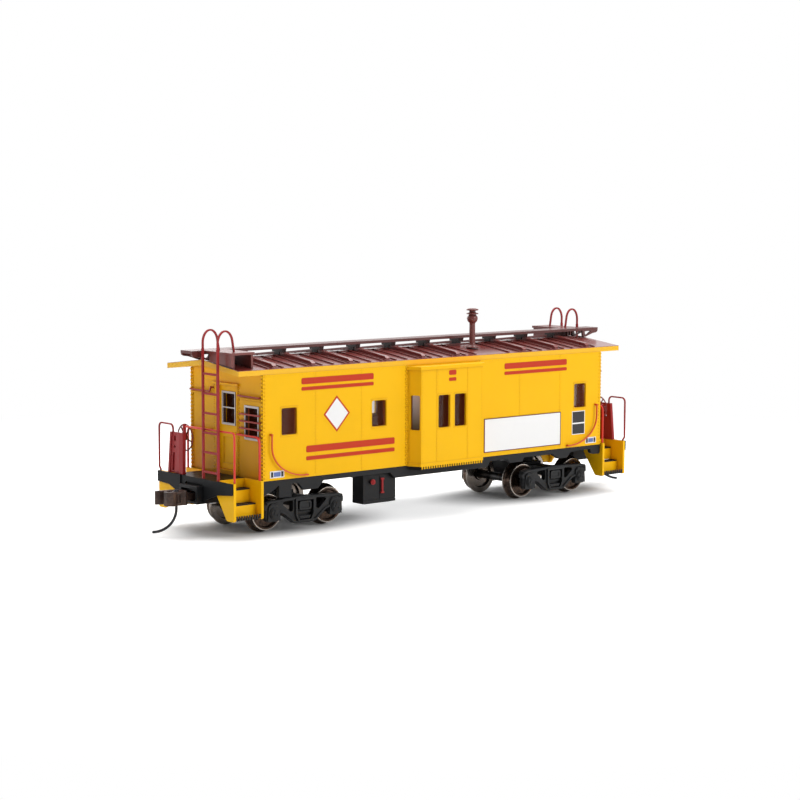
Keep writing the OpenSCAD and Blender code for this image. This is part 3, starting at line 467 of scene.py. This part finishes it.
# One red plastic as lit and shaded copies: painted shade makes the end parts crimson, painted
# light makes the side rails and corner handrails vermilion.
cover("end_ladder_a end_ladder_b brake_side_rails brake_stand_a brake_stand_b "
      "box_valve_and_gauge", painted(
          "red_plastic_painted_shade", srgb(158, 38, 40), rough=0.44, drift=0.06, crevice_shade=0.6,
          coat=0.02, dark=srgb(62, 8, 14), spec=0.26))
cover("ladder_side_rails corner_handrails", painted(
    "red_plastic_painted_light", srgb(222, 48, 24), rough=0.42, drift=0.06, crevice_shade=0.4, coat=0.03,
    dark=srgb(96, 14, 8)))
cover("side_grab_irons", painted(
    "grab_orange_wire", srgb(216, 84, 22), rough=0.38, drift=0.05, crevice_shade=0.4, coat=0.10,
    dark=srgb(120, 30, 8)))
cover("brake_wheel_a brake_wheel_b", painted(
    "rail_dark_red_plastic", srgb(124, 34, 30), rough=0.42, drift=0.08, crevice_shade=0.6, coat=0.08,
    dark=srgb(40, 8, 8)))
# the end wall's grab irons and guard bars take the red darkened as painted shade, as it looks in
# the end's shadow
cover("end_grab_irons window_guard_bars", painted(
    "guard_red_plastic", srgb(158, 42, 34), rough=0.42, drift=0.08, crevice_shade=0.5, coat=0.05,
    dark=srgb(58, 10, 10)))
cover("underframe equipment_box coupler_box_a coupler_box_b coupler_lids", painted(
    "underframe_grey_plastic", srgb(27, 28, 30), rough=0.46, drift=0.12, crevice_shade=0.9, coat=0.0,
    dark=srgb(8, 8, 9), grain=0.05, spec=0.28, reach=1.4))
cover("end_platform_a end_platform_b", painted(
    "platform_grey_plastic", srgb(28, 29, 31), rough=0.40, drift=0.12, crevice_shade=0.9, coat=0.0,
    dark=srgb(7, 7, 8), grain=0.05, spec=0.12, reach=1.4, finish=deck_shade_finish))
cover("truck_frame_a truck_frame_b", painted(
    "truck_grey_plastic", srgb(33, 34, 36), rough=0.40, drift=0.14, crevice_shade=1.25, coat=0.0,
    dark=srgb(6, 6, 7), grain=0.06, spec=0.34, reach=1.9))
cover("step_treads", painted(
    "tread_black_plastic", srgb(30, 27, 28), rough=0.5, drift=0.12, crevice_shade=0.6, coat=0.0,
    grain=0.06))
cover("axle_a1 axle_a2 axle_b1 axle_b2", painted(
    "axle_black_acetal", srgb(24, 22, 22), rough=0.25, drift=0.10, crevice_shade=0.3, coat=0.1,
    grain=0.01))
cover("end_window_frames", painted(
    "silver_trim_paint", srgb(205, 204, 206), rough=0.32, drift=0.05, crevice_shade=0.6, coat=0.1,
    dark=srgb(70, 62, 58), finish=trim_finish))

mat_white = painted("white_print", srgb(243, 243, 243), rough=0.33, drift=0.012, crevice_shade=0.2,
                    coat=0.1, dark=srgb(120, 118, 112), grain=0.01)
mat_maroon = painted("maroon_print", srgb(198, 58, 28), rough=0.42, drift=0.04, crevice_shade=0.3,
                     coat=0.02, grain=0.01, spec=0.2)
mat_border = painted("sign_border_print", srgb(104, 26, 30), rough=0.36, drift=0.04, crevice_shade=0.3,
                     coat=0.12, grain=0.01)
mat_ink = painted("black_print", srgb(28, 26, 28), rough=0.36, drift=0.05, crevice_shade=0.2,
                  coat=0.12, grain=0.01)
mat_blue = painted("blue_print", srgb(88, 110, 170), rough=0.3, drift=0.05, crevice_shade=0.2,
                   coat=0.2, grain=0.01)

cover("wheels_a1 wheels_a2 wheels_b1 wheels_b2", turned_metal("turned_wheel_metal"))
# pieces, material name, dark and light colours, roughness, metallic
for names, name, dark, light, rough, metallic in (
    ("coupler_a coupler_b knuckle_a knuckle_b", "coupler_brown_oxide",
     srgb(36, 26, 24), srgb(98, 76, 66), 0.38, 0.35),
    ("trip_pin_a trip_pin_b", "blackened_wire",
     srgb(38, 38, 42), srgb(66, 66, 70), 0.34, 0.5),
    ("truck_screws coupler_screws", "plated_steel",
     srgb(150, 150, 152), srgb(200, 200, 200), 0.28, 0.9),
    ("centring_springs", "spring_bronze",
     srgb(170, 112, 58), srgb(206, 150, 90), 0.3, 0.85),
    ("weight", "ballast_steel",
     srgb(52, 44, 40), srgb(84, 74, 68), 0.5, 0.6),
):
    cover(names, cast(name, dark, light, rough, metallic))
cover("side_glazing", glazing("clear_glazing", gain=0.12, clear=0.96))
# End and bay panes let less light through, a painted shade that keeps the inside dark behind them
cover("end_glazing", glazing("end_glazing_sheet", gain=0.10, clear=0.42))
cover("bay_glazing", glazing("bay_glazing_sheet", gain=0.04, clear=0.80, painted_sheen=True))


# ------------------------------------------------------------------ geometry tools
def half_turn_copy(bm):
    """Adds a copy of the whole mesh, turned half round about the car's vertical axis."""
    everything = bm.verts[:] + bm.edges[:] + bm.faces[:]
    turn = Matrix.Rotation(math.pi, 4, "Z")
    for item in bmesh.ops.duplicate(bm, geom=everything)["geom"]:
        if isinstance(item, bmesh.types.BMVert):
            item.co = turn @ item.co


def add_part(name, build, material, smooth=False):
    """Makes an object from what build draws, repeated by a half turn."""
    bm = bmesh.new()
    build(bm)
    half_turn_copy(bm)
    bmesh.ops.recalc_face_normals(bm, faces=bm.faces)
    mesh = bpy.data.meshes.new(name)
    bm.to_mesh(mesh)
    bm.free()
    part = bpy.data.objects.new(name, mesh)
    bpy.context.scene.collection.objects.link(part)
    mesh.materials.append(material)
    for polygon in mesh.polygons:
        polygon.use_smooth = smooth
    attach(part, "car")
    return part


def dome(bm, centre, normal, radius, height, segments=10, foot=0.0):
    """A rivet head; height is a share of the radius.

    A foot above 0 adds a dark disc of that many radii, in the second material: a painted shadow
    round the rivet's base.
    """
    turn = Vector((0, 0, 1)).rotation_difference(Vector(normal).normalized())
    pose = Matrix.Translation(Vector(centre) * MM) @ turn.to_matrix().to_4x4()
    radius *= MM

    def ring(spread, z):
        angles = [2 * math.pi * i / segments for i in range(segments)]
        return [bm.verts.new(pose @ Vector((radius * spread * math.cos(angle),
                                            radius * spread * math.sin(angle), z)))
                for angle in angles]

    def wall(lower, upper):
        return [bm.faces.new((lower[i], lower[(i + 1) % segments],
                              upper[(i + 1) % segments], upper[i]))
                for i in range(segments)]

    # share of the radius, share of the height
    profile = ((1.0, -0.25), (1.0, 0.12), (0.82, 0.62), (0.45, 0.92))
    rings = [ring(spread, radius * height * level) for spread, level in profile]
    top = bm.verts.new(pose @ Vector((0, 0, radius * height)))
    for lower, upper in zip(rings, rings[1:]):
        wall(lower, upper)
    for i in range(segments):
        bm.faces.new((rings[-1][i], rings[-1][(i + 1) % segments], top))
    bm.faces.new(list(reversed(rings[0])))
    if foot > 0:
        lower = ring(foot, -0.01 * MM)
        upper = ring(foot, 0.02 * MM)
        faces = wall(lower, upper)
        faces += [bm.faces.new(upper), bm.faces.new(list(reversed(lower)))]
        for face in faces:
            face.material_index = 1


def column(bm, x, y, low, high, pitch, normal, radius, height=0.7, segments=10, foot=0.0):
    """An upright row of rivets from z low to high, spaced as near to pitch as fits."""
    count = int(round((high - low) / pitch))
    for i in range(count + 1):
        z = low + (high - low) * i / count
        dome(bm, (x, y, z), normal, radius, height, segments, foot)


def strip(bm, x0, x1, z0, z1, y, proud, bevel, sunk=0.02):
    """A bevelled bar on a face at y, standing proud toward -Y and sunk a little into it."""
    low = (x0, y - proud, z0)
    high = (x1, y + sunk, z1)
    verts = bmesh.ops.create_cube(bm, size=1.0)["verts"]
    for vert in verts:
        vert.co = Vector(((low[i] + high[i]) / 2 + vert.co[i] * (high[i] - low[i])) * MM
                         for i in range(3))
    edges = list({edge for vert in verts for edge in vert.link_edges})
    bmesh.ops.bevel(bm, geom=edges, offset=bevel * MM, segments=2, affect="EDGES", profile=0.5)


def outline(bm, points, y, thick):
    """A thin plate with the given x, z outline on a face at y, standing out toward -Y."""
    front = [bm.verts.new(Vector((x, y - thick, z)) * MM) for x, z in points]
    back = [bm.verts.new(Vector((x, y + 0.01, z)) * MM) for x, z in points]
    bm.faces.new(front)
    bm.faces.new(list(reversed(back)))
    count = len(points)
    for i in range(count):
        after = (i + 1) % count
        bm.faces.new((front[i], back[i], back[after], front[after]))


def plate(bm, x0, x1, z0, z1, y, thick, corner=0.0):
    """A thin rectangular plate, its corners rounded if corner is above 0."""
    if corner <= 0:
        points = [(x0, z0), (x1, z0), (x1, z1), (x0, z1)]
    else:
        steps = 6
        points = []
        for x, z, start in (
            (x1 - corner, z0 + corner, -90), (x1 - corner, z1 - corner, 0),
            (x0 + corner, z1 - corner, 90), (x0 + corner, z0 + corner, 180),
        ):
            for k in range(steps + 1):
                angle = math.radians(start + 90 * k / steps)
                points.append((x + corner * math.cos(angle), z + corner * math.sin(angle)))
    outline(bm, points, y, thick)


def border(bm, x0, x1, z0, z1, width, y, thick):
    """A thin rectangular border."""
    plate(bm, x0, x1, z0, z0 + width, y, thick)
    plate(bm, x0, x1, z1 - width, z1, y, thick)
    plate(bm, x0, x0 + width, z0 + width, z1 - width, y, thick)
    plate(bm, x1 - width, x1, z0 + width, z1 - width, y, thick)


def diamond(bm, half_x, half_z, thick):
    x, z = DIAMOND_X, DIAMOND_Z
    outline(bm, [(x - half_x, z), (x, z - half_z), (x + half_x, z), (x, z + half_z)],
            SIDE_Y, thick)


# ------------------------------------------------------------------ rivets and seams
def rivet_heads(bm):
    side_out, end_out = (0, -1, 0), (-1, 0, 0)
    # corners of the body, on the side and on the end
    for x in (-59.55, 59.55):
        column(bm, x, SIDE_Y, 15.0, 40.7, pitch=1.0, normal=side_out, radius=0.24)
    for y in (-15.45, 15.45):
        column(bm, -60.15, y, 15.0, 40.6, pitch=1.0, normal=end_out, radius=0.36,
               height=0.9, foot=1.25)
    # beside the end door
    for y in (-5.4, 5.4):
        column(bm, -60.0, y, 15.4, 37.0, pitch=1.0, normal=end_out, radius=0.22, foot=1.3)
    # where the bay joins the side
    for x in (-13.1, 13.1):
        column(bm, x, SIDE_Y, 15.0, 40.6, pitch=1.08, normal=side_out, radius=0.33, foot=1.2)
    # outer corners of the bay, then its angled faces
    for x in (-10.6, 10.6):
        column(bm, x, BAY_Y, 15.6, 39.4, pitch=0.8, normal=side_out, radius=0.13)
    share = 0.14            # of the way out along the angled face
    for end in (-1, 1):
        column(bm, end * (BAY_FOOT_X - share * BAY_TAPER), SIDE_Y - share * BAY_DEPTH,
               15.2, 39.6, pitch=0.75, normal=(end * BAY_DEPTH, -BAY_TAPER, 0), radius=0.16)
    # toothed strip hanging along the foot of the bay, and rivets on the angled faces there
    for i in range(26):
        x = -10.6 + 21.2 * i / 25
        strip(bm, x - 0.2, x + 0.2, 13.55, 14.6, BAY_Y, proud=0.14, bevel=0.03, sunk=0.05)
    for i in range(5):
        for end in (-1, 1):
            share = 0.15 + 0.75 * i / 4
            dome(bm, (end * (12.7 - BAY_TAPER * share), SIDE_Y - 3.7 * share, 14.55),
                 (end * BAY_DEPTH, -BAY_TAPER, 0), radius=0.2, height=0.7)
    # both sides of each panel seam
    for seams, y, low, high, radius in ((SIDE_SEAMS, SIDE_Y, 15.2, 40.6, 0.09),
                                        (BAY_SEAMS, BAY_Y, 15.5, 39.4, 0.085)):
        for x in seams:
            for offset in (-SEAM_RIVET_OFFSET, SEAM_RIVET_OFFSET):
                column(bm, x + offset, y, low, high, pitch=0.95, normal=side_out,
                       radius=radius, height=0.6, segments=8)
    # rows under the eave and along the sill, broken at the bay
    for i in range(104):
        x = -59.0 + 118.0 * i / 103
        if abs(x) > 13.6:
            for z in (40.65, 14.75):
                dome(bm, (x, SIDE_Y, z), side_out, radius=0.10, height=0.6, segments=8)


def sheet_seams(bm):
    for x in SIDE_SEAMS:
        strip(bm, x - SEAM_HALF, x + SEAM_HALF, 14.45, 41.0, SIDE_Y, proud=0.045, bevel=0.02)
    for x in BAY_SEAMS:
        strip(bm, x - SEAM_HALF, x + SEAM_HALF, 15.2, 39.85, BAY_Y, proud=0.06, bevel=0.02)
    # window surrounds: two uprights, the head and the sill
    for x0, x1 in SIDE_WINDOWS:
        strip(bm, x0 - 0.30, x0 - 0.06, 25.3, 32.7, SIDE_Y, proud=0.07, bevel=0.025)
        strip(bm, x1 + 0.06, x1 + 0.30, 25.3, 32.7, SIDE_Y, proud=0.07, bevel=0.025)
        strip(bm, x0 - 0.35, x1 + 0.35, 32.55, 32.78, SIDE_Y, proud=0.16, bevel=0.03)
        strip(bm, x0 - 0.35, x1 + 0.35, 25.22, 25.45, SIDE_Y, proud=0.10, bevel=0.03)
    for x in BAY_WINDOW_CENTRES:
        strip(bm, x - 2.35, x - 2.12, 24.0, 33.1, BAY_Y, proud=0.06, bevel=0.02)
        strip(bm, x + 2.12, x + 2.35, 24.0, 33.1, BAY_Y, proud=0.06, bevel=0.02)
        strip(bm, x - 2.4, x + 2.4, 33.02, 33.24, BAY_Y, proud=0.12, bevel=0.025)
        strip(bm, x - 2.4, x + 2.4, 23.85, 24.07, BAY_Y, proud=0.10, bevel=0.025)


# ------------------------------------------------------------------ prints, without lettering
def red_bands(bm):
    for band in RED_BANDS:
        plate(bm, *band)
    # shows as a border round the white diamond
    diamond(bm, half_x=4.3, half_z=4.7, thick=0.03)


def sign_border(bm):
    border(bm, *SIGN, width=0.22, y=SIDE_Y, thick=0.16)


def label_span():
    """X from and to inside the label's border."""
    return LABEL[0] + LABEL_BORDER, LABEL[1] - LABEL_BORDER


def white_plates(bm):
    diamond(bm, half_x=3.7, half_z=4.05, thick=0.05)
    x0, x1, z0, z1 = SIGN
    strip(bm, x0 + SIGN_INSET, x1 - SIGN_INSET, z0 + SIGN_INSET, z1 - SIGN_INSET, SIDE_Y,
          proud=0.13, bevel=0.03)
    border(bm, *LABEL, width=LABEL_BORDER, y=SIDE_Y, thick=0.06)
    plate(bm, *label_span(), *LABEL_BAR_Z, SIDE_Y, thick=0.06)
    for reflector in REFLECTORS:
        plate(bm, *reflector, SIDE_Y, thick=0.10, corner=0.1)


def black_panels(bm):
    bar_low, bar_high = LABEL_BAR_Z
    plate(bm, *label_span(), LABEL[2] + LABEL_BORDER, bar_low, SIDE_Y, thick=0.05)
    plate(bm, *label_span(), bar_high, LABEL[3] - LABEL_BORDER, SIDE_Y, thick=0.05)
    for x0, x1, z0, z1 in REFLECTORS:
        plate(bm, x0 + 0.25, x0 + 0.95, z0 + 0.2, z1 - 0.2, SIDE_Y, thick=0.13)
        plate(bm, x1 - 0.95, x1 - 0.25, z0 + 0.2, z1 - 0.2, SIDE_Y, thick=0.13)


def reflector_strips(bm):
    for x0, x1, z0, z1 in REFLECTORS:
        plate(bm, x0 + 1.15, x1 - 1.15, z0 + 0.3, z1 - 0.3, SIDE_Y, thick=0.13)


rivets = add_part("rivet_heads", rivet_heads, mat_yellow, smooth=True)
rivets.data.materials.append(rivet_shadow_mat)
add_part("sheet_seams", sheet_seams, mat_yellow, smooth=True)
add_part("red_bands", red_bands, mat_maroon)
add_part("sign_border", sign_border, mat_border)
add_part("white_plates", white_plates, mat_white)
add_part("black_panels", black_panels, mat_ink)
add_part("reflector_strips", reflector_strips, mat_blue)


# ------------------------------------------------------------------ softened edges
def surface_area(piece):
    mesh = piece.evaluated_get(bpy.context.evaluated_depsgraph_get()).to_mesh()
    mesh.calc_loop_triangles()
    return sum(triangle.area for triangle in mesh.loop_triangles)


def weld(piece):
    piece.modifiers.new("weld", "WELD").merge_threshold = 2e-6


def soften(names, width, segments=2, flat=True):
    """Rounds the edges by width mm; flat first joins coplanar faces."""
    for piece in present(names):
        weld(piece)
        full = surface_area(piece)
        if flat:
            planar = piece.modifiers.new("planar", "DECIMATE")
            planar.decimate_type = "DISSOLVE"
            planar.angle_limit = math.radians(0.3)
            # a face joined across an opening changes the area; such a piece keeps its triangles
            if abs(surface_area(piece) / full - 1) > 0.0015:
                piece.modifiers.remove(planar)
        edge = piece.modifiers.new("edge", "BEVEL")
        edge.width = width * MM
        edge.segments = segments
        edge.limit_method = "ANGLE"
        edge.angle_limit = math.radians(38)
        edge.use_clamp_overlap = True
        edge.miter_outer = "MITER_SHARP"
        # a bevel that folds over itself also shows in the area
        if not 0.8 < surface_area(piece) / full < 1.004:
            piece.modifiers.remove(edge)


soften("body_shell bay_window_near bay_window_far", width=0.08)
soften("roof running_board roof_platform_a roof_platform_b", width=0.07)
soften("steps_a_near steps_a_far steps_b_near steps_b_far", width=0.07)
soften("end_platform_a end_platform_b equipment_box brake_stand_a brake_stand_b", width=0.08)
soften("coupler_a coupler_b knuckle_a knuckle_b", width=0.15, segments=3, flat=False)
soften("coupler_box_a coupler_box_b", width=0.12)
soften("truck_frame_a truck_frame_b", width=0.08)
soften("end_ladder_a end_ladder_b brake_side_rails ladder_side_rails corner_handrails "
       "side_grab_irons window_guard_bars end_grab_irons", width=0.1)
soften("underframe end_door_a end_door_b end_window_frames", width=0.05)
for piece in NODES.values():
    if not any(modifier.type == "WELD" for modifier in piece.modifiers):
        weld(piece)

# ------------------------------------------------------------------ stage (in metres from here)
scene = bpy.context.scene


def floor_material():
    """Paper that takes a soft shadow near the car and runs out to plain white.

    The camera alone sees the added light.
    """
    mat = Mat("floor_pale")
    paper = mat.ramp(mat.noise(scale=3.0), (0.3, grey(0.80)), (0.7, grey(0.815)))
    diffuse = mat.add("ShaderNodeBsdfDiffuse", {"Color": paper}).outputs[0]
    white = mat.add("ShaderNodeEmission", {0: WHITE}).outputs[0]
    camera_ray = mat.add("ShaderNodeLightPath").outputs["Is Camera Ray"]
    x, y, _ = mat.place()
    fade = mat.map_range(mat.hypot(x, y), start=0.10, end=0.26,
                         interpolation_type="SMOOTHSTEP")
    # painted light lifts the floor outside an ellipse round each truck, so the shadow is deep only
    # there
    shadow_x, half_x, half_y = 0.046, 0.020, 0.0105
    across_x = mat.math("DIVIDE", mat.minus(mat.size(x), shadow_x), half_x)
    across_y = mat.math("DIVIDE", y, half_y)
    least_lift, extra_lift = 0.03, 0.50
    lift = mat.map_range(mat.hypot(across_x, across_y), start=1.0, end=2.1,
                         limits=(least_lift, least_lift + extra_lift),
                         interpolation_type="SMOOTHSTEP")
    lifted = mat.add("ShaderNodeEmission", {1: mat.times(camera_ray, lift)}).outputs[0]
    near = mat.add("ShaderNodeAddShader", {0: diffuse, 1: lifted}).outputs[0]
    far = mat.mix_shader(camera_ray, diffuse, white)
    return mat.surface(mat.mix_shader(fade, near, far))


def build_floor():
    bm = bmesh.new()
    bmesh.ops.create_grid(bm, x_segments=1, y_segments=1, size=6.0)
    mesh = bpy.data.meshes.new("floor")
    bm.to_mesh(mesh)
    bm.free()
    floor = bpy.data.objects.new("floor", mesh)
    scene.collection.objects.link(floor)
    mesh.materials.append(floor_material())


def build_world():
    """White to the camera; as a light, brightest toward +Y and above, dim toward -X."""
    world = bpy.data.worlds.new("studio")
    scene.world = world
    world.use_nodes = True
    sky = Graph(world.node_tree)
    out = sky.add("ShaderNodeOutputWorld")
    camera_ray = sky.add("ShaderNodeLightPath").outputs["Is Camera Ray"]
    seen = sky.add("ShaderNodeBackground", {0: WHITE, 1: 1.0})
    direction = sky.add("ShaderNodeTexCoord").outputs["Generated"]
    x, y, z = sky.add("ShaderNodeSeparateXYZ", {0: direction}).outputs

    def calc(operation, a, b):
        return sky.add("ShaderNodeMath", {0: a, 1: b}, operation=operation).outputs[0]

    def toward(amount, gain):
        return calc("MULTIPLY", calc("MAXIMUM", amount, 0.0), gain)

    back = toward(y, gain=0.75)
    minus_x = toward(calc("MULTIPLY", x, -1.0), gain=0.32)
    above = toward(z, gain=0.25)
    ambient = 0.42
    strength = calc("SUBTRACT", calc("ADD", calc("ADD", ambient, back), above), minus_x)
    light = sky.add("ShaderNodeBackground", {0: WHITE, 1: strength})
    mixed = sky.add("ShaderNodeMixShader",
                    {0: camera_ray, 1: light.outputs[0], 2: seen.outputs[0]})
    sky.feed(out.inputs[0], mixed.outputs[0])


def area_light(name, place, target, size, size_y, power):
    light = bpy.data.lights.new(name, "AREA")
    light.energy = power
    light.shape = "RECTANGLE"
    light.size = size
    light.size_y = size_y
    lamp = bpy.data.objects.new(name, light)
    scene.collection.objects.link(lamp)
    lamp.location = place
    aim = Vector(target) - Vector(place)
    lamp.rotation_euler = aim.to_track_quat("-Z", "Y").to_euler()


def build_camera():
    """Looks along the car from the -X end and the -Y side, a little from above."""
    place = Vector((-361.383, -424.893, 88.236)) * MM
    right = Vector((0.763741, -0.645512, 0.003824))
    up = Vector((0.064444, 0.082138, 0.994535))
    forward = Vector((0.642298, 0.759321, -0.104332))
    camera = bpy.data.cameras.new("camera")
    camera.sensor_width = 36.0
    camera.lens = 91.9683
    camera.clip_start = 0.02
    camera.clip_end = 20
    holder = bpy.data.objects.new("camera", camera)
    scene.collection.objects.link(holder)
    pose = Matrix((right, up, -forward)).transposed().to_4x4()
    pose.translation = place
    holder.matrix_world = pose
    scene.camera = holder


build_floor()
build_world()
area_light("top_soft", place=(0.12, 0.16, 0.75), target=(0, 0, 0.02),
           size=0.8, size_y=0.6, power=4.6)
area_light("front_soft", place=(0.34, -0.78, 0.42), target=(0, 0, 0.03),
           size=0.5, size_y=0.4, power=3.3)
area_light("back_soft", place=(0.05, 0.80, 0.30), target=(0, 0, 0.04),
           size=0.9, size_y=0.3, power=1.6)
build_camera()
scene.view_settings.view_transform = "Standard"
scene.view_settings.look = "None"
